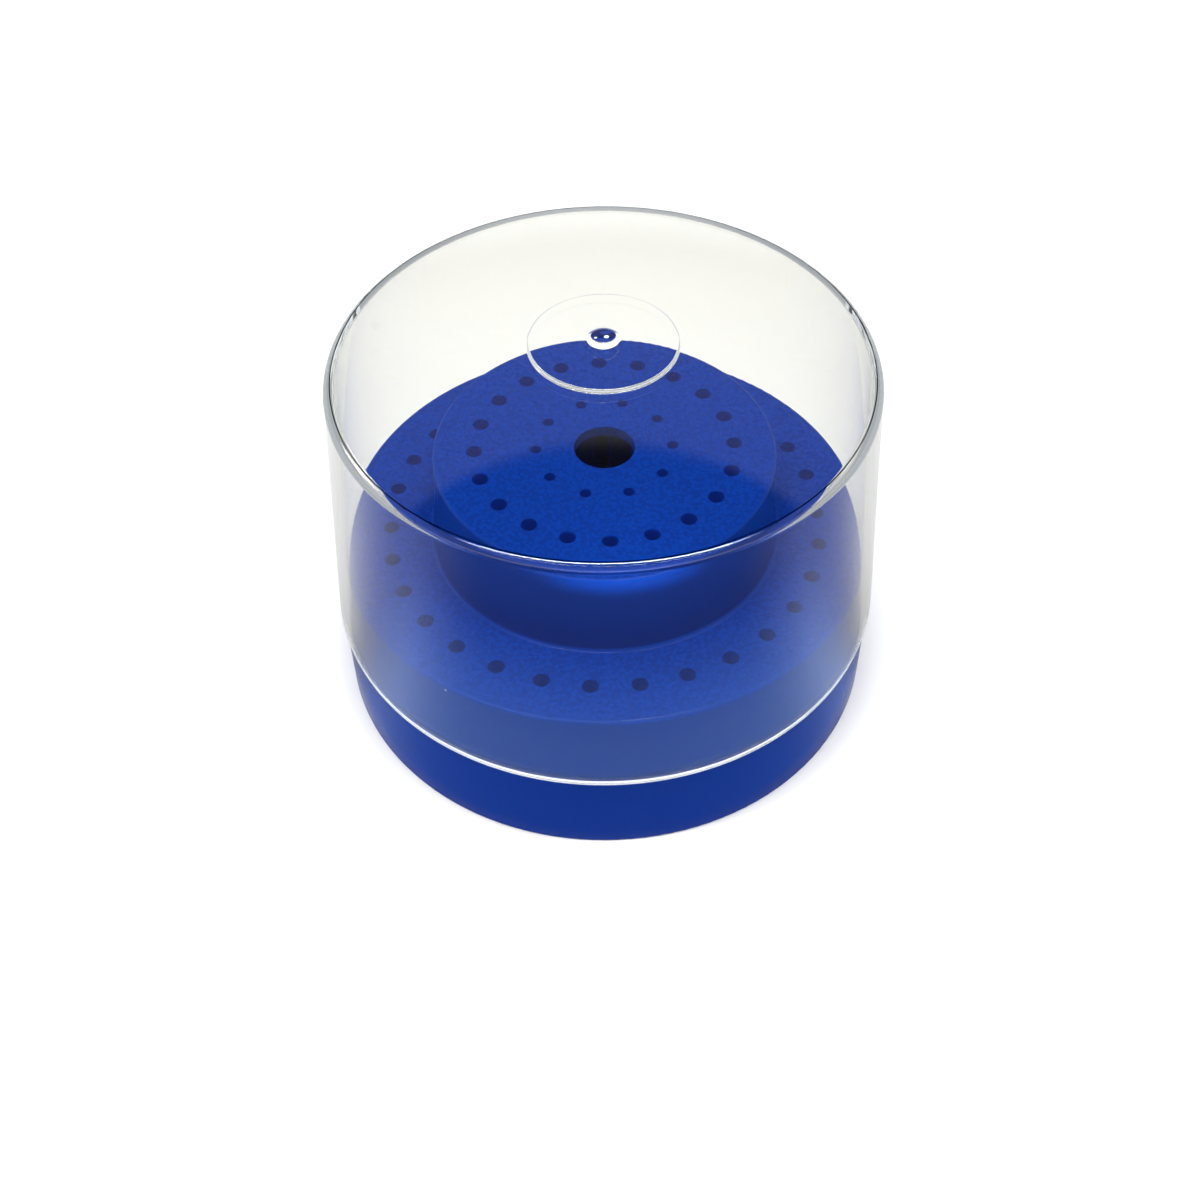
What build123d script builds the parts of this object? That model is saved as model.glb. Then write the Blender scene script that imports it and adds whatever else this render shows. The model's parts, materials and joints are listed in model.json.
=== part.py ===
from build123d import *
from math import radians, sqrt, tan
import os

# Round bur block: a blue moulded base in two steps, with blind sockets for burs,
# under a clear lid that stands on the base's foot and lifts straight off.
# Millimetres. The origin is at the centre of the foot's underside, with +Z up.

# Heights, each one standing on the one before
foot_height = 14.3  # floor to the ledge that the lid stands on
lower_step = 12.1  # ledge to the lower deck
upper_step = 13.8  # lower deck to the upper deck
bur_headroom = 16.6  # upper deck to the lid's shoulder
dome_rise = 4.4  # shoulder to the crown of the lid

# Lid
lid_rim_radius = 42.0  # outside, at the open end
lid_wall = 1.5
lid_draft = 3.0  # degrees, narrower towards the top
lid_shoulder_round = 1.5
lid_rim_round = 0.4
raised_disc_radius = 10.7
raised_disc_step = 0.55
gate_mark_radius = 2.25
gate_mark_height = 0.9

# Base
foot_inset = 0.4  # the foot's ledge lies this far inside the lid's outer edge
foot_draft = 1.2  # degrees, narrower towards the floor
base_wall = 1.8
lid_clearance = 0.35  # between the lid's inside and the step that it goes over
step_draft = 3.2  # degrees
upper_deck_radius = 25.6
deck_edge_round = 0.5
step_foot_round = 0.6
foot_edge_round = 0.3
centre_bore = 9.1  # diameter

# Sockets: friction grip shanks in the inner ring, latch and handpiece shanks outside it
inner_ring_radius = 10.2
inner_ring_count = 10
middle_ring_inset = 6.2  # from the upper deck's edge to the middle ring
middle_ring_count = 20
outer_ring_count = 30
narrow_socket = 1.7  # diameter
wide_socket = 2.4  # diameter
narrow_socket_depth = 13.0
middle_socket_depth = 18.0
outer_socket_depth = 17.0
socket_wall = 1.2
socket_floor = 1.5

# Heights and radii that follow from those above
ledge_z = foot_height
lower_deck_z = ledge_z + lower_step
upper_deck_z = lower_deck_z + upper_step
shoulder_z = upper_deck_z + bur_headroom
crown_z = shoulder_z + dome_rise

lid_lean = (shoulder_z - ledge_z) * tan(radians(lid_draft))
lid_shoulder_radius = lid_rim_radius - lid_lean
lid_inside_radius = lid_rim_radius - lid_wall
ledge_radius = lid_rim_radius - foot_inset
foot_radius = ledge_radius - foot_height * tan(radians(foot_draft))
lower_foot_radius = lid_inside_radius - lid_clearance
lower_deck_radius = lower_foot_radius - lower_step * tan(radians(step_draft))
upper_foot_radius = upper_deck_radius + upper_step * tan(radians(step_draft))
middle_ring_radius = upper_deck_radius - middle_ring_inset
outer_ring_radius = (upper_foot_radius + lower_deck_radius) / 2
bore_radius = centre_bore / 2


def on_ring(radius, count, straddle):
    # A ring of places. Its first place is on +Y, or half a pitch beside +Y.
    start = 90 + (180 / count if straddle else 0)
    return PolarLocations(radius, count, start_angle=start)


def corners_at(vertices, radius, height):
    # The vertices of a section that lie at one radius and height
    return vertices.filter_by(lambda v: abs(v.X - radius) < 0.01 and abs(v.Y - height) < 0.01)


# The base is one moulding of even wall, open underneath.
outer_line = [
    (bore_radius, upper_deck_z),
    (upper_deck_radius, upper_deck_z),
    (upper_foot_radius, lower_deck_z),
    (lower_deck_radius, lower_deck_z),
    (lower_foot_radius, ledge_z),
    (ledge_radius, ledge_z),
    (foot_radius, 0),
]
inner_line = [
    (foot_radius - base_wall, 0),
    (ledge_radius - base_wall, ledge_z - base_wall),
    (lower_foot_radius - base_wall, ledge_z - base_wall),
    (lower_deck_radius - base_wall, lower_deck_z - base_wall),
    (upper_foot_radius - base_wall, lower_deck_z - base_wall),
    (upper_deck_radius - base_wall, upper_deck_z - base_wall),
    (bore_radius, upper_deck_z - base_wall),
]
deck_edges = [(upper_deck_radius, upper_deck_z), (lower_deck_radius, lower_deck_z)]
step_feet = [(upper_foot_radius, lower_deck_z)]
foot_edges = [(ledge_radius, ledge_z), (foot_radius, 0)]

# Each ring of sockets: its radius, count, place, bore, depth and the deck it is sunk in
socket_rings = [
    (inner_ring_radius, inner_ring_count, True, narrow_socket, narrow_socket_depth, upper_deck_z),
    (middle_ring_radius, middle_ring_count, False, wide_socket, middle_socket_depth, upper_deck_z),
    (outer_ring_radius, outer_ring_count, True, wide_socket, outer_socket_depth, lower_deck_z),
]

with BuildPart() as base:
    with BuildSketch(Plane.XZ) as base_section:
        with BuildLine():
            Polyline(*outer_line, *inner_line, close=True)
        make_face()
        for radius, height in deck_edges:
            fillet(corners_at(base_section.vertices(), radius, height), deck_edge_round)
        for radius, height in step_feet:
            fillet(corners_at(base_section.vertices(), radius, height), step_foot_round)
        for radius, height in foot_edges:
            fillet(corners_at(base_section.vertices(), radius, height), foot_edge_round)
    revolve(axis=Axis.Z)

    # The socket tubes hang from the underside of the decks, closed at their tips.
    for radius, count, straddle, bore, depth, deck_z in socket_rings:
        root_z = deck_z - base_wall / 2
        tip_z = deck_z - depth - socket_floor
        with BuildSketch(Plane.XY.offset(root_z)):
            with on_ring(radius, count, straddle):
                Circle(bore / 2 + socket_wall)
        extrude(amount=tip_z - root_z)

    for radius, count, straddle, bore, depth, deck_z in socket_rings:
        with BuildSketch(Plane.XY.offset(deck_z)):
            with on_ring(radius, count, straddle):
                Circle(bore / 2)
        extrude(amount=-depth, mode=Mode.SUBTRACT)

base.part.label = "base"


# The lid is a thin domed cup, mouth down, with a raised disc round its gate mark.
dome_radius = (lid_shoulder_radius**2 + dome_rise**2) / (2 * dome_rise)
disc_edge_z = crown_z - dome_radius + sqrt(dome_radius**2 - raised_disc_radius**2)
disc_crown_z = crown_z + raised_disc_step
inside_crown_z = crown_z - lid_wall
inside_shoulder_z = shoulder_z - lid_wall
inside_shoulder_radius = lid_shoulder_radius - lid_wall
gate_base_z = disc_crown_z - lid_wall / 2

with BuildPart() as lid:
    with BuildSketch(Plane.XZ) as lid_section:
        with BuildLine():
            crown = TangentArc((0, crown_z), (lid_shoulder_radius, shoulder_z), tangent=(1, 0))
            Polyline(
                crown @ 1,
                (lid_rim_radius, ledge_z),
                (lid_inside_radius, ledge_z),
                (inside_shoulder_radius, inside_shoulder_z),
            )
            TangentArc(
                (0, inside_crown_z),
                (inside_shoulder_radius, inside_shoulder_z),
                tangent=(1, 0),
            )
            Line((0, inside_crown_z), (0, crown_z))
        make_face()
        fillet(
            corners_at(lid_section.vertices(), lid_shoulder_radius, shoulder_z),
            lid_shoulder_round,
        )
        for radius in (lid_rim_radius, lid_inside_radius):
            fillet(corners_at(lid_section.vertices(), radius, ledge_z), lid_rim_round)
    revolve(axis=Axis.Z)

    with BuildSketch(Plane.XZ):
        with BuildLine():
            disc_top = TangentArc(
                (0, disc_crown_z),
                (raised_disc_radius, disc_edge_z + raised_disc_step),
                tangent=(1, 0),
            )
            Polyline(
                disc_top @ 1,
                (raised_disc_radius, disc_edge_z - lid_wall / 2),
                (0, disc_edge_z - lid_wall / 2),
                (0, disc_crown_z),
            )
        make_face()
    revolve(axis=Axis.Z)

    # The gate mark is a low drop of plastic on the crown.
    with BuildSketch(Plane.XZ):
        with BuildLine():
            drop_crown = (0, disc_crown_z + gate_mark_height)
            drop = TangentArc(drop_crown, (gate_mark_radius, disc_crown_z), tangent=(1, 0))
            Polyline(drop @ 1, (gate_mark_radius, gate_base_z), (0, gate_base_z), drop_crown)
        make_face()
    revolve(axis=Axis.Z)

lid.part.label = "lid"


os.makedirs("parts", exist_ok=True)
for piece in (base, lid):
    export_step(piece.part, f"parts/{piece.part.label}.step")
    print(piece.part.label, piece.part.bounding_box().size, round(piece.part.volume))
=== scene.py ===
import bpy
import json
from math import atan2, cos, hypot, pi, radians, sin, sqrt, tan
from mathutils import Matrix, Vector


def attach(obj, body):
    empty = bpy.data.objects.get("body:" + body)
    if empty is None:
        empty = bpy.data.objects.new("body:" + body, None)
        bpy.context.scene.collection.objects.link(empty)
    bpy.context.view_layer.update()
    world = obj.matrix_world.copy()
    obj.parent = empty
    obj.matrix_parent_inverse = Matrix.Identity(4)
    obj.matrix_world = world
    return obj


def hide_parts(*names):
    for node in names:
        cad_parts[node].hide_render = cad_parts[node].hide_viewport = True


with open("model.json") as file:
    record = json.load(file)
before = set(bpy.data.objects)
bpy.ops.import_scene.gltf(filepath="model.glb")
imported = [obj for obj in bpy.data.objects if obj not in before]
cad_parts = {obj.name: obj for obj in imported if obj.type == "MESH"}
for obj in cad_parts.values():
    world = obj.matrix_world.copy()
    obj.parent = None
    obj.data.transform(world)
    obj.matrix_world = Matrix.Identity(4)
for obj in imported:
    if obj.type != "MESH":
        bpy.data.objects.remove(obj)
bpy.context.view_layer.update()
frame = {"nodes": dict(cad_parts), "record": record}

mm = 0.001
print("frame loaded:", ", ".join(sorted(frame["nodes"])))


# camera, placed as the photograph's

cameraSpec = {
    "focalPixels": 1743.6,  # focal length in pixels of the picture
    "framePixels": 1200,
    "centreX": 622.6,  # where the lens axis meets the picture
    "centreY": 476.7,
    "elevation": 43.71,  # degrees down onto the block
    "turn": 2.87,  # degrees that the block is turned, seen from above
    "right": -2.70 * mm,  # the foot's centre as the camera sees it
    "down": 25.24 * mm,
    "away": 287.4 * mm,
    "sensor": 36.0,
    "nearest": 10 * mm,  # where the view starts
}


def makeCamera(spec):
    lift = radians(spec["elevation"])
    right = Vector((1, 0, 0))
    down = Vector((0, -sin(lift), -cos(lift)))
    away = Vector((0, cos(lift), -sin(lift)))
    place = -(right * spec["right"] + down * spec["down"] + away * spec["away"])
    turn = Matrix.Rotation(radians(-spec["turn"]), 4, "Z")
    axes = Matrix((right, -down, -away)).transposed().to_4x4()
    data = bpy.data.cameras.new("camera")
    data.sensor_width = spec["sensor"]
    data.lens = spec["focalPixels"] / spec["framePixels"] * spec["sensor"]
    data.shift_x = (spec["framePixels"] / 2 - spec["centreX"]) / spec["framePixels"]
    data.shift_y = (spec["centreY"] - spec["framePixels"] / 2) / spec["framePixels"]
    data.clip_start = spec["nearest"]
    camera = bpy.data.objects.new("camera", data)
    bpy.context.scene.collection.objects.link(camera)
    camera.matrix_world = turn @ Matrix.Translation(place) @ axes
    bpy.context.scene.camera = camera


makeCamera(cameraSpec)
print("camera placed")


# shader nodes

def newMaterial(name):
    material = bpy.data.materials.new(name)
    material.use_nodes = True
    tree = material.node_tree
    tree.nodes.clear()
    return material, tree


def addNode(tree, kind, **settings):
    node = tree.nodes.new(kind)
    for key, value in settings.items():
        setattr(node, key, value)
    return node


def setInputs(node, **values):
    for key, value in values.items():
        node.inputs[key.replace("_", " ")].default_value = value


def mathNode(tree, operation, first, second=None, clamp=False):
    node = addNode(tree, "ShaderNodeMath", operation=operation, use_clamp=clamp)
    for socket, value in zip(node.inputs, (first, second)):
        if value is None:
            continue
        if isinstance(value, (int, float)):
            socket.default_value = value
        else:
            tree.links.new(value, socket)
    return node.outputs[0]


def rampNode(tree, source, low, high, toLow=0.0, toHigh=1.0, smooth=True):
    node = addNode(tree, "ShaderNodeMapRange")
    node.interpolation_type = "SMOOTHSTEP" if smooth else "LINEAR"
    setInputs(node, From_Min=low, From_Max=high, To_Min=toLow, To_Max=toHigh)
    tree.links.new(source, node.inputs["Value"])
    return node.outputs["Result"]


def mixNode(tree, kind, factor, first, second):
    node = addNode(tree, "ShaderNodeMix", data_type=kind)
    tree.links.new(factor, node.inputs["Factor"])
    for key, value in (("A", first), ("B", second)):
        if isinstance(value, bpy.types.NodeSocket):
            tree.links.new(value, node.inputs[key])
        else:
            node.inputs[key].default_value = value
    return node.outputs["Result"]


def mixShader(tree, factor, first, second):
    node = addNode(tree, "ShaderNodeMixShader")
    for socket, value in zip(node.inputs, (factor, first, second)):
        tree.links.new(value, socket)
    return node.outputs[0]


def addShaders(tree, first, second):
    node = addNode(tree, "ShaderNodeAddShader")
    tree.links.new(first, node.inputs[0])
    tree.links.new(second, node.inputs[1])
    return node.outputs[0]


def splitXYZ(tree, source):
    node = addNode(tree, "ShaderNodeSeparateXYZ")
    tree.links.new(source, node.inputs[0])
    return node.outputs


def fromAxis(tree, parts):
    # distance from the block's axis
    square = mathNode(tree, "MULTIPLY", parts["X"], parts["X"])
    other = mathNode(tree, "MULTIPLY", parts["Y"], parts["Y"])
    return mathNode(tree, "SQRT", mathNode(tree, "ADD", square, other))


def noiseNode(tree, place, scale, detail, roughness):
    node = addNode(tree, "ShaderNodeTexNoise")
    setInputs(node, Scale=scale, Detail=detail, Roughness=roughness)
    tree.links.new(place, node.inputs["Vector"])
    return node.outputs


def bumpNode(tree, height, distance, strength=1.0, under=None, invert=False):
    # under is the bump that this one is laid on
    node = addNode(tree, "ShaderNodeBump", invert=invert)
    setInputs(node, Strength=strength, Distance=distance)
    tree.links.new(height, node.inputs["Height"])
    if under is not None:
        tree.links.new(under, node.inputs["Normal"])
    return node.outputs[0]


def outputNode(tree, shader, kind="Material"):
    node = addNode(tree, "ShaderNodeOutput" + kind)
    tree.links.new(shader, node.inputs["Surface"])


# base

baseFinish = {
    "blue": (0.0, 0.031, 0.288, 1),
    "shadedCrease": (0.0, 0.023, 0.228, 1),  # painted shade, darker down in the leather grain's creases
    "deckRough": 0.55,
    "deckSheen": 0.03,  # how much the grain reflects, 0.5 being full plastic gloss
    "wallRough": 0.20,
    "wallSheen": 0.08,
    "grainSize": 0.62 * mm,  # from one pebble of the deck's leather grain to the next
    "grainDepth": 0.050 * mm,
    "flowDepth": 0.003 * mm,
    "dust": (0.45, 0.55, 0.70, 1),
    "dustPerMetre": 260.0,
    "dustLuck": 0.86,
    "dustEdge": (0.035, 0.055),  # share of a cell where a speck ends
    "dustCover": 0.75,
    "socketGlow": (0.0, 0.0035, 0.055, 1),  # stands for light that the plastic lets into its sockets
    "ior": 1.49,
    "deckFacing": (0.96, 0.995),  # how level a face is before it counts as deck
    "warpScale": 0.9,  # fineness of the noise that bends the grain, to the grain's own
    "warpReach": 0.8,
    "grainBlend": 0.35,
    "creaseEdge": (0.30, 0.72),
    "flowScale": 70.0,
    "wearScale": 85.0,
    "wearEdge": (0.40, 0.75),
    "wearDull": 0.06,  # roughness that handling adds
}
socketSpec = {
    "depths": {"inner_sockets": 13.0, "middle_sockets": 18.0, "outer_sockets": 17.0},  # millimetres
    "slack": 1.02,  # the mask's width to the socket's
    "lip": 0.05 * mm,  # left dark under the deck
    "below": mm,  # and how far the mask goes past the socket's floor
}


def socketMask(tree, place, spec):
    # 1 in the bands of the rings of sockets, from just under the decks to past the sockets' floors
    parts = splitXYZ(tree, place)
    radius = fromAxis(tree, parts)
    total = 0.0
    for mount in frame["record"]["mounts"]:
        if mount["name"] not in spec["depths"]:
            continue
        ring = mount["dims"]["pcd_mm"] * mm / 2
        reach = mount["dims"]["hole_r_mm"] * mm * spec["slack"]
        deck = mount["pos_m"][2] - spec["lip"]
        floor = deck - spec["depths"][mount["name"]] * mm - spec["below"]
        apart = mathNode(tree, "ABSOLUTE", mathNode(tree, "SUBTRACT", radius, ring))
        near = mathNode(tree, "LESS_THAN", apart, reach)
        low = mathNode(tree, "LESS_THAN", parts["Z"], deck)
        high = mathNode(tree, "GREATER_THAN", parts["Z"], floor)
        inside = mathNode(tree, "MULTIPLY", mathNode(tree, "MULTIPLY", near, low), high)
        total = mathNode(tree, "ADD", inside, total, clamp=True)
    return total


def makeBlueMoulding(finish):
    material, tree = newMaterial("blueMoulding")
    links = tree.links
    place = addNode(tree, "ShaderNodeTexCoord").outputs["Object"]
    facing = addNode(tree, "ShaderNodeNewGeometry").outputs["True Normal"]
    onDeck = rampNode(tree, splitXYZ(tree, facing)["Z"], *finish["deckFacing"])

    # leather grain: rounded pebbles parted by fine creases, which carry painted shade
    size = finish["grainSize"]
    warp = noiseNode(tree, place, finish["warpScale"] / size, 2.0, 0.5)
    bend = addNode(tree, "ShaderNodeVectorMath", operation="MULTIPLY_ADD")
    links.new(warp["Color"], bend.inputs[0])
    bend.inputs[1].default_value = (size * finish["warpReach"],) * 3
    links.new(place, bend.inputs[2])
    pebbles = addNode(tree, "ShaderNodeTexVoronoi", feature="SMOOTH_F1")
    setInputs(pebbles, Scale=1 / size, Smoothness=finish["grainBlend"])
    links.new(bend.outputs[0], pebbles.inputs["Vector"])
    shadedCrease = rampNode(tree, pebbles.outputs["Distance"], *finish["creaseEdge"])
    shadedCrease = mathNode(tree, "MULTIPLY", shadedCrease, onDeck)
    grain = bumpNode(tree, shadedCrease, finish["grainDepth"], invert=True)
    # painted shade: the creases are coloured darker
    colour = mixNode(tree, "RGBA", shadedCrease, finish["blue"], finish["shadedCrease"])

    # the faint unevenness of a moulded wall
    flow = noiseNode(tree, place, finish["flowScale"], 2.0, 0.45)
    normal = bumpNode(tree, flow["Fac"], finish["flowDepth"], under=grain)

    # handling dulls the gloss in soft patches
    wear = noiseNode(tree, place, finish["wearScale"], 4.0, 0.6)
    dulled = rampNode(tree, wear["Fac"], *finish["wearEdge"], 0.0, finish["wearDull"])
    rough = rampNode(tree, onDeck, 0, 1, finish["wallRough"], finish["deckRough"], smooth=False)
    rough = mathNode(tree, "ADD", rough, dulled)
    sheen = rampNode(tree, onDeck, 0, 1, finish["wallSheen"], finish["deckSheen"], smooth=False)

    # a few pale specks of dust
    specks = addNode(tree, "ShaderNodeTexVoronoi", feature="F1")
    setInputs(specks, Scale=finish["dustPerMetre"])
    links.new(place, specks.inputs["Vector"])
    luck = addNode(tree, "ShaderNodeSeparateColor")
    links.new(specks.outputs["Color"], luck.inputs[0])
    some = mathNode(tree, "GREATER_THAN", luck.outputs[0], finish["dustLuck"])
    dust = rampNode(tree, specks.outputs["Distance"], *finish["dustEdge"], finish["dustCover"], 0.0)
    colour = mixNode(tree, "RGBA", mathNode(tree, "MULTIPLY", dust, some), colour, finish["dust"])

    shader = addNode(tree, "ShaderNodeBsdfPrincipled")
    setInputs(shader, IOR=finish["ior"], Emission_Color=finish["socketGlow"])
    links.new(colour, shader.inputs["Base Color"])
    links.new(rough, shader.inputs["Roughness"])
    links.new(sheen, shader.inputs["Specular IOR Level"])
    links.new(normal, shader.inputs["Normal"])
    links.new(socketMask(tree, place, socketSpec), shader.inputs["Emission Strength"])
    outputNode(tree, shader.outputs[0])
    return material


def dress(node, material):
    slots = frame["nodes"][node].data.materials
    slots.clear()
    slots.append(material)


dress("base", makeBlueMoulding(baseFinish))
print("base dressed")


# lid

lidShape = {
    "rimRadius": 42.0,
    "rimHeight": 14.3,
    "wall": 1.5,
    "lean": 3.0,  # degrees
    "shoulder": 56.8,
    "domeRise": 4.4,
    "shoulderRound": 1.5,
    "insideRound": 0.5,
    "rimRound": 0.4,
    "discRadius": 10.7,
    "discStep": 0.55,
    "discRound": 0.22,
    "dropRadius": 2.25,
    "dropTop": 1.8,  # radius of the drop's face, where it was cut off the runner
    "dropHeight": 0.9,
    "dropRound": 0.22,
    "dropSlant": 0.70,  # share of its height that the cut loses from front to back
    "paintedGlints": [(-1.10, -0.50, 0.20), (0.42, -0.38, 0.36)],  # x, y and radius of white spots painted in the cut as its glints
    "around": 320,  # points round the lid
    "steps": {"drop": 24, "disc": 8, "dome": 30, "corner": 14},  # points along each stretch
    "dropRise": 0.14,
    "discStart": 1.3,  # where the disc's top starts, in radii of the drop
    "domeStart": 1.06,  # where the dome starts, in radii of the disc
    "seatMatt": 0.25,  # height of the matt lower edge
    "topDepth": 2.0,  # what lies no further than this under the crown is the top
    "stepHighlightHalf": 0.012,  # half the width of the painted highlight on the disc's step
    "stepHighlightFront": 3.0,  # the step's painted highlight lies in front of this
    "skirtLightFrom": 0.04,  # the drop's skirt is painted white, as the light it shows, from this far outside its face
    # and the skirt is painted white only in front of this
    "skirtLightFront": 1.0,
}
lidFinish = {
    "tint": (1.0, 1.0, 0.958, 1),
    "lampTint": (0.95, 0.955, 0.94, 1),
    "rough": 0.0,
    "ior": 1.58,
    "waver": 0.006 * mm,
    "guided": (0.40, 0.43, 0.46, 1),  # light that has run round inside the wall
    "guidedAfter": 3.5,  # bounces
    "rippleScale": 45.0,
    "seatAndPaintedWhite": (0.92, 0.95, 0.97, 1),  # white of the dull lower edge, and painted light on the disc's step, the drop's skirt and its glints
    "mattRough": 0.55,
    "gritScale": 1500.0,
    "gritDepth": 0.02 * mm,
    "gritStrength": 0.5,
}


def capArc(radius, rise, top, steps, start=0.0):
    # points of a shallow cap, from start out to its edge
    sphere = (radius ** 2 + rise ** 2) / (2 * rise)
    points = []
    for k in range(steps + 1):
        r = start + (radius - start) * k / steps
        points.append((r, top - sphere + sqrt(sphere ** 2 - r ** 2), 0.0))
    return points


def roundCorners(corners, steps):
    # points and normals of a profile whose corners carry a radius of their own
    points = []
    last = len(corners) - 1
    for k, (r, z, radius) in enumerate(corners):
        before = corners[max(k - 1, 0)]
        after = corners[min(k + 1, last)]
        inward = Vector((r - before[0], z - before[1]))
        onward = Vector((after[0] - r, after[1] - z))
        if k == 0 or k == last:
            points.append((r, z, Vector((0, 1 if k == 0 else -1))))
            continue
        inward.normalize()
        onward.normalize()
        turnIn = atan2(inward.y, inward.x)
        turnOut = atan2(onward.y, onward.x)
        bend = (turnOut - turnIn + pi) % (2 * pi) - pi
        if radius == 0:
            middle = turnIn + bend / 2
            points.append((r, z, Vector((-sin(middle), cos(middle)))))
            continue
        back = radius * tan(abs(bend) / 2)
        side = 1 if bend > 0 else -1
        startNormal = Vector((-sin(turnIn), cos(turnIn)))
        centre = Vector((r, z)) - inward * back + startNormal * side * radius
        for step in range(steps + 1):
            angle = turnIn + bend * step / steps
            normal = Vector((-sin(angle), cos(angle)))
            spot = centre - normal * side * radius
            points.append((spot.x, spot.y, normal))
    return points


def lidProfile(shape):
    # from the middle of the drop down the outside, round the lower edge and back up inside
    steps = shape["steps"]
    crown = shape["shoulder"] + shape["domeRise"]
    leanIn = (shape["shoulder"] - shape["rimHeight"]) * tan(radians(shape["lean"]))
    top = shape["rimRadius"] - leanIn
    dome = (top ** 2 + shape["domeRise"] ** 2) / (2 * shape["domeRise"])
    discEdge = crown - dome + sqrt(dome ** 2 - shape["discRadius"] ** 2)
    discCrown = crown + shape["discStep"]
    dropCrown = discCrown + shape["dropHeight"]
    discStart = shape["dropRadius"] * shape["discStart"]
    domeStart = shape["discRadius"] * shape["domeStart"]

    corners = capArc(shape["dropTop"], shape["dropRise"], dropCrown, steps["drop"])
    corners[-1] = corners[-1][:2] + (shape["dropRound"],)
    corners.append((shape["dropRadius"], discCrown, shape["dropRound"]))
    corners += capArc(shape["discRadius"], crown - discEdge, discCrown, steps["disc"], discStart)
    corners[-1] = corners[-1][:2] + (shape["discRound"],)
    corners.append((shape["discRadius"], discEdge, shape["discRound"]))
    corners += capArc(top, shape["domeRise"], crown, steps["dome"], domeStart)
    corners[-1] = corners[-1][:2] + (shape["shoulderRound"],)
    corners.append((shape["rimRadius"], shape["rimHeight"], shape["rimRound"]))
    corners.append((shape["rimRadius"] - shape["wall"], shape["rimHeight"], shape["rimRound"]))
    inside = capArc(top - shape["wall"], shape["domeRise"], crown - shape["wall"], steps["dome"])
    inside.reverse()
    inside[0] = inside[0][:2] + (shape["insideRound"],)
    corners += inside
    return roundCorners(corners, steps["corner"])


def slantCut(places, normals, foot, reach, loss):
    # lowers what stands above foot towards +Y, and turns its normals to match
    fall = -loss / (2 * reach)
    for k, (x, y, z) in enumerate(places):
        if z <= foot:
            continue
        share = 1 - loss * (y + reach) / (2 * reach)
        nx, ny, nz = normals[k]
        places[k] = (x, y, foot + (z - foot) * share)
        normals[k] = Vector((nx, ny - nz * (z - foot) * fall / share, nz / share)).normalized()[:]


def turnOnAxis(name, profile, around, cut):
    # a closed body of revolution, with the exact normals of its profile
    places = []
    normals = []
    faces = []
    rows = []
    for r, z, normal in profile:
        if r < 1e-6:
            rows.append([len(places)])
            places.append((0, 0, z * mm))
            normals.append((0, 0, normal.y))
            continue
        rows.append(list(range(len(places), len(places) + around)))
        for k in range(around):
            angle = 2 * pi * k / around
            places.append((r * cos(angle) * mm, r * sin(angle) * mm, z * mm))
            normals.append((normal.x * cos(angle), normal.x * sin(angle), normal.y))
    for upper, lower in zip(rows, rows[1:]):
        for k in range(around):
            n = (k + 1) % around
            if len(upper) == 1:
                faces.append((upper[0], lower[k], lower[n]))
            elif len(lower) == 1:
                faces.append((upper[k], lower[0], upper[n]))
            else:
                faces.append((upper[k], lower[k], lower[n], upper[n]))
    slantCut(places, normals, *cut)
    mesh = bpy.data.meshes.new(name)
    mesh.from_pydata(places, [], faces)
    mesh.shade_smooth()
    mesh.normals_split_custom_set_from_vertices(normals)
    body = bpy.data.objects.new(name, mesh)
    bpy.context.scene.collection.objects.link(body)
    return body


def makeClearStyrene(finish):
    material, tree = newMaterial("clearStyrene")
    place = addNode(tree, "ShaderNodeTexCoord").outputs["Object"]
    ripple = noiseNode(tree, place, finish["rippleScale"], 1.0, 0.4)
    waver = bumpNode(tree, ripple["Fac"], finish["waver"])
    shader = addNode(tree, "ShaderNodeBsdfPrincipled")
    setInputs(shader, Roughness=finish["rough"], IOR=finish["ior"], Transmission_Weight=1.0)
    setInputs(shader, Base_Color=finish["tint"])
    tree.links.new(waver, shader.inputs["Normal"])

    # rays caught inside the wall end as a painted pale grey glow instead of black
    guided = addNode(tree, "ShaderNodeEmission")
    setInputs(guided, Color=finish["guided"])
    path = addNode(tree, "ShaderNodeLightPath").outputs
    caught = mathNode(tree, "GREATER_THAN", path["Ray Depth"], finish["guidedAfter"])
    body = mixShader(tree, caught, shader.outputs[0], guided.outputs[0])

    # light on its way to the block passes straight through
    clear = addNode(tree, "ShaderNodeBsdfTransparent")
    setInputs(clear, Color=finish["lampTint"])
    soft = mathNode(tree, "MAXIMUM", path["Is Shadow Ray"], path["Is Diffuse Ray"])
    outputNode(tree, mixShader(tree, soft, body, clear.outputs[0]))
    return material


def makeDullAndPaintedWhite(finish):
    # dull styrene that scatters white: the lower edge, and painted light on the disc's step, the
    # drop's skirt and its glints
    material, tree = newMaterial("dullEdgeAndPaintedWhite")
    shader = addNode(tree, "ShaderNodeBsdfPrincipled")
    setInputs(shader, Roughness=finish["mattRough"], IOR=finish["ior"])
    setInputs(shader, Base_Color=finish["seatAndPaintedWhite"])
    place = addNode(tree, "ShaderNodeTexCoord").outputs["Object"]
    grit = noiseNode(tree, place, finish["gritScale"], 2.0, 0.5)
    uneven = bumpNode(tree, grit["Fac"], finish["gritDepth"], finish["gritStrength"])
    tree.links.new(uneven, shader.inputs["Normal"])
    outputNode(tree, shader.outputs[0])
    return material


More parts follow.
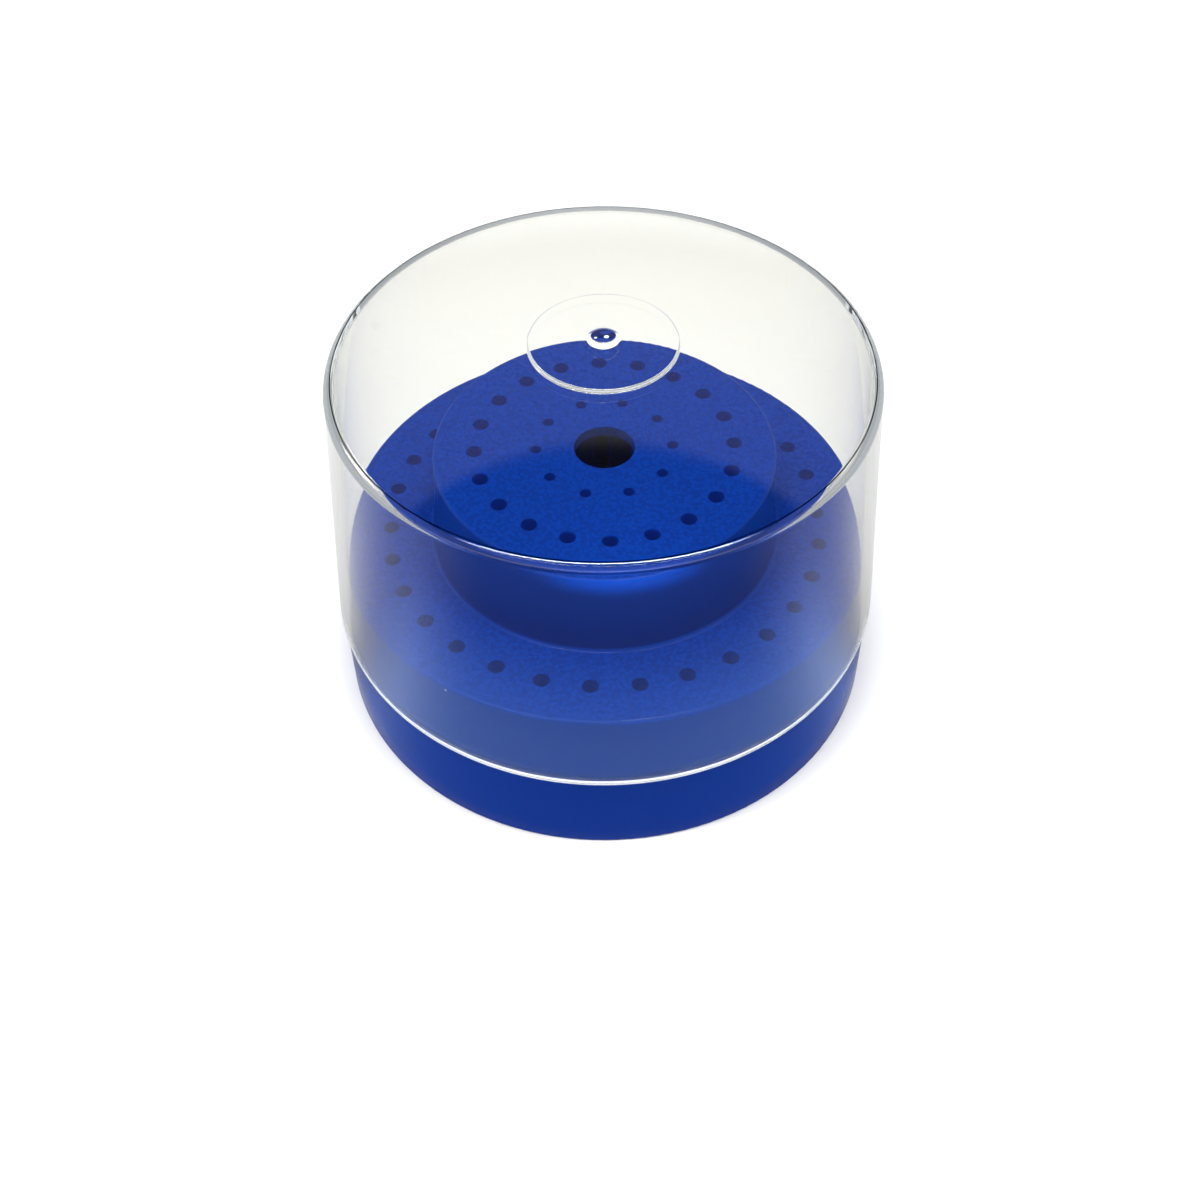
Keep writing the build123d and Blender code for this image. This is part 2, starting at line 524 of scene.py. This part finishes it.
def isDullOrPaintedWhite(spot, shape, crown, dropFoot):
    # spot is the middle of a face, in metres
    reach = hypot(spot.x, spot.y) / mm
    # the lower edge is dull white
    if spot.z < (shape["rimHeight"] + shape["seatMatt"]) * mm:
        return True
    onTop = spot.z > crown - shape["topDepth"] * mm
    # painted highlight: the front of the disc's step is made white
    onStep = onTop and abs(reach - shape["discRadius"]) < shape["stepHighlightHalf"]
    if onStep and spot.y < shape["stepHighlightFront"] * mm:
        return True
    if spot.z <= dropFoot:
        return False
    # painted light: the front of the drop's skirt is made white, standing in for the bright backdrop
    # it refracts
    if reach > shape["dropTop"] + shape["skirtLightFrom"] and spot.y < shape["skirtLightFront"] * mm:
        return True
    # painted glints: a few white spots in the drop's cut
    return any(hypot(spot.x / mm - x, spot.y / mm - y) < wide for x, y, wide in shape["paintedGlints"])


def buildLid(shape, finish):
    crown = (shape["shoulder"] + shape["domeRise"]) * mm
    dropFoot = (shape["shoulder"] + shape["domeRise"] + shape["discStep"]) * mm
    cut = (dropFoot, shape["dropRadius"] * mm, shape["dropSlant"])
    lid = turnOnAxis("lidShell", lidProfile(shape), shape["around"], cut)
    lid.data.materials.append(makeClearStyrene(finish))
    lid.data.materials.append(makeDullAndPaintedWhite(finish))
    # faces made dull white: the lower edge, and painted light on the step, the skirt and the glints
    for face in lid.data.polygons:
        face.material_index = 1 if isDullOrPaintedWhite(face.center, shape, crown, dropFoot) else 0
    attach(lid, "lid")
    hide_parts("lid")


buildLid(lidShape, lidFinish)
print("lid built")


# studio

studioSpec = {
    "floorSize": 3.0,
    "floorAlbedo": 0.80,
    "floorLift": 0.13,  # what the paper floor glows with, for the eye alone
    "liftFrom": 41 * mm,  # the glow starts this far from the block's axis
    "floorFar": 0.62,  # and what it gains far out, where the lamps don't reach
    "farEdge": (0.30, 1.10),
    "frontShade": 0.08,  # how bright the floor shows in the block, right in front of it
    "sideShade": 0.36,  # the same towards the left and the right
    "backShade": 0.88,  # and behind it
    "shadeEdge": (0.35, 0.80),  # cosine of the angle between straight ahead and there
    "backEdge": (-0.45, 0.35),  # the same for the step from back to side
    "mirrorEdge": (-0.95, -0.35),  # behind this the mirrored floor isn't dimmed at all
    "bounce": (0.25, 0.45, 1.0, 1),  # painted reflection: blue tone of the mirrored paper in front of the block
    "bounceLight": 0.75,
    "bounceEdge": (58 * mm, 90 * mm),
    "bounceFront": (0.1, 0.5),
    "shadeStart": (41.5 * mm, 43 * mm),
    "wallTop": 56.0,  # degrees above the horizon where the pale backdrop ends
    "wallSoft": 1.2,
    "wallLight": 0.14,  # the backdrop as outer faces mirror it
    "wallThrough": 0.36,  # the same seen from within the clear plastic
    "ceilingLight": 0.01,
    "ceilingThrough": 0.05,
    "horizon": (0.17, 0.30),  # sine of the height where the white low down fades out
    "softLight": 0.42,  # what the whole room gives to dull surfaces
}
lampSpecs = {
    "overhead": {
        "place": (0.0, -0.10, 0.85),
        "wide": 1.1,
        "deep": 0.11,
        "power": 8.7,
        "even": (0.45, 0.20),  # part of its half width and half depth that is evenly lit
    },
    "left": {"place": (-0.62, 0.28, 0.55), "wide": 0.22, "deep": 0.22, "power": 1.5},
}
glowSpec = {
    # stands for light that the lid's rounded shoulder gathers on the front of the upper step
    "place": (0.0, -0.13, 0.058),
    "target": (0.002, -0.0262, 0.0400),
    "cone": 15.0,  # degrees
    "flat": 0.16,  # height of the patch to its width
    "power": 0.90,
    "bulb": 1.5 * mm,
}


def paperForEye(tree, spec, path, radius):
    # dull paper, lifted towards white for the eye, and far out for what is seen through the lid too
    paper = addNode(tree, "ShaderNodeBsdfDiffuse")
    setInputs(paper, Color=(spec["floorAlbedo"],) * 3 + (1,))
    outside = mathNode(tree, "GREATER_THAN", radius, spec["liftFrom"])
    near = mathNode(tree, "MULTIPLY", path["Is Camera Ray"], outside)
    near = mathNode(tree, "MULTIPLY", near, spec["floorLift"])
    seen = mathNode(tree, "MAXIMUM", path["Is Camera Ray"], path["Is Transmission Ray"])
    far = rampNode(tree, radius, *spec["farEdge"], 0.0, spec["floorFar"])
    far = mathNode(tree, "MULTIPLY", far, seen)
    lift = addNode(tree, "ShaderNodeEmission")
    tree.links.new(mathNode(tree, "ADD", near, far), lift.inputs["Strength"])
    return addShaders(tree, paper.outputs[0], lift.outputs[0])


def paperMirrored(tree, spec, radius, ahead):
    # painted reflection: mirrored in the block, the near side of the floor is dim, and blue close to
    # the block
    shade = rampNode(tree, ahead, *spec["shadeEdge"], spec["sideShade"], spec["frontShade"])
    behind = spec["backShade"] - spec["sideShade"]
    beside = rampNode(tree, ahead, *spec["backEdge"], behind, 0.0)
    dim = addNode(tree, "ShaderNodeEmission")
    tree.links.new(mathNode(tree, "ADD", shade, beside), dim.inputs["Strength"])
    blue = addNode(tree, "ShaderNodeEmission")
    setInputs(blue, Color=spec["bounce"])
    reach = rampNode(tree, radius, *spec["bounceEdge"], spec["bounceLight"], 0.0)
    front = rampNode(tree, ahead, *spec["bounceFront"])
    tree.links.new(mathNode(tree, "MULTIPLY", reach, front), blue.inputs["Strength"])
    return addShaders(tree, dim.outputs[0], blue.outputs[0])


def makeFloor(spec):
    half = spec["floorSize"] / 2
    mesh = bpy.data.meshes.new("floor")
    corners = [(-half, -half, 0), (half, -half, 0), (half, half, 0), (-half, half, 0)]
    mesh.from_pydata(corners, [], [(0, 1, 2, 3)])
    floor = bpy.data.objects.new("floor", mesh)
    bpy.context.scene.collection.objects.link(floor)
    material, tree = newMaterial("whitePaper")
    path = addNode(tree, "ShaderNodeLightPath").outputs
    parts = splitXYZ(tree, addNode(tree, "ShaderNodeTexCoord").outputs["Object"])
    radius = fromAxis(tree, parts)
    # 1 straight in front of the block, -1 straight behind it
    ahead = mathNode(tree, "DIVIDE", mathNode(tree, "MULTIPLY", parts["Y"], -1.0), radius)
    # rays that only pass through the lid count as glossy too, but have no glossy bounce
    bounced = mathNode(tree, "GREATER_THAN", path["Glossy Depth"], 0.5)
    bounced = mathNode(tree, "MULTIPLY", bounced, path["Is Glossy Ray"])
    mirrored = mathNode(tree, "MULTIPLY", bounced, rampNode(tree, ahead, *spec["mirrorEdge"]))
    clearOfBlock = rampNode(tree, radius, *spec["shadeStart"])
    dimmed = mathNode(tree, "MULTIPLY", clearOfBlock, mirrored)
    plain = paperForEye(tree, spec, path, radius)
    outputNode(tree, mixShader(tree, dimmed, plain, paperMirrored(tree, spec, radius, ahead)))
    mesh.materials.append(material)


def makeWorld(spec):
    world = bpy.data.worlds.new("studio")
    bpy.context.scene.world = world
    world.use_nodes = True
    tree = world.node_tree
    tree.nodes.clear()
    up = splitXYZ(tree, addNode(tree, "ShaderNodeTexCoord").outputs["Generated"])["Z"]
    low = sin(radians(spec["wallTop"] - spec["wallSoft"]))
    high = sin(radians(spec["wallTop"] + spec["wallSoft"]))
    mirrored = rampNode(tree, up, low, high, spec["wallLight"], spec["ceilingLight"])
    through = rampNode(tree, up, low, high, spec["wallThrough"], spec["ceilingThrough"])
    horizon = rampNode(tree, up, *spec["horizon"], 1.0, 0.0)
    path = addNode(tree, "ShaderNodeLightPath").outputs
    light = mixNode(tree, "FLOAT", path["Is Transmission Ray"], mirrored, through)
    light = mixNode(tree, "FLOAT", horizon, light, 1.0)
    light = mixNode(tree, "FLOAT", path["Is Diffuse Ray"], light, spec["softLight"])
    light = mixNode(tree, "FLOAT", path["Is Camera Ray"], light, 1.0)
    background = addNode(tree, "ShaderNodeBackground")
    setInputs(background, Color=(1, 1, 1, 1))
    tree.links.new(light, background.inputs["Strength"])
    outputNode(tree, background.outputs[0], "World")


def softenEdges(data, spec):
    # fades a level lamp towards its edges, so that its mirror image has no hard outline
    data.use_nodes = True
    tree = data.node_tree
    tree.nodes.clear()
    parts = splitXYZ(tree, addNode(tree, "ShaderNodeNewGeometry").outputs["Position"])
    sides = zip(("X", "Y"), spec["place"], (spec["wide"], spec["deep"]), spec["even"])
    fade = 1.0
    for axis, middle, size, share in sides:
        off = mathNode(tree, "ABSOLUTE", mathNode(tree, "SUBTRACT", parts[axis], middle))
        peak = 2 / (1 + share)  # keeps the lamp's power
        edge = rampNode(tree, off, share * size / 2, size / 2, peak, 0.0)
        fade = mathNode(tree, "MULTIPLY", edge, fade)
    glow = addNode(tree, "ShaderNodeEmission")
    tree.links.new(fade, glow.inputs["Strength"])
    outputNode(tree, glow.outputs[0], "Light")


def makeLamp(name, spec):
    data = bpy.data.lights.new(name, "AREA")
    data.shape = "RECTANGLE"
    data.size = spec["wide"]
    data.size_y = spec["deep"]
    data.energy = spec["power"]
    lamp = bpy.data.objects.new(name, data)
    bpy.context.scene.collection.objects.link(lamp)
    lamp.location = spec["place"]
    lamp.rotation_euler = (-Vector(spec["place"])).to_track_quat("-Z", "Y").to_euler()
    if "even" in spec:
        softenEdges(data, spec)


def makeGlow(spec):
    data = bpy.data.lights.new("shoulderGlow", "SPOT")
    data.energy = spec["power"]
    data.spot_size = radians(spec["cone"])
    data.spot_blend = 1.0
    data.shadow_soft_size = spec["bulb"]
    lamp = bpy.data.objects.new("shoulderGlow", data)
    bpy.context.scene.collection.objects.link(lamp)
    lamp.location = spec["place"]
    aim = Vector(spec["target"]) - Vector(spec["place"])
    lamp.rotation_euler = aim.to_track_quat("-Z", "Y").to_euler()
    lamp.scale = (1, spec["flat"], 1)
    lamp.visible_glossy = False
    lamp.visible_transmission = False


makeFloor(studioSpec)
makeWorld(studioSpec)
makeGlow(glowSpec)
for lampName, lampSpec in lampSpecs.items():
    makeLamp(lampName, lampSpec)
bpy.context.scene.view_settings.view_transform = "Standard"
print("studio lit")
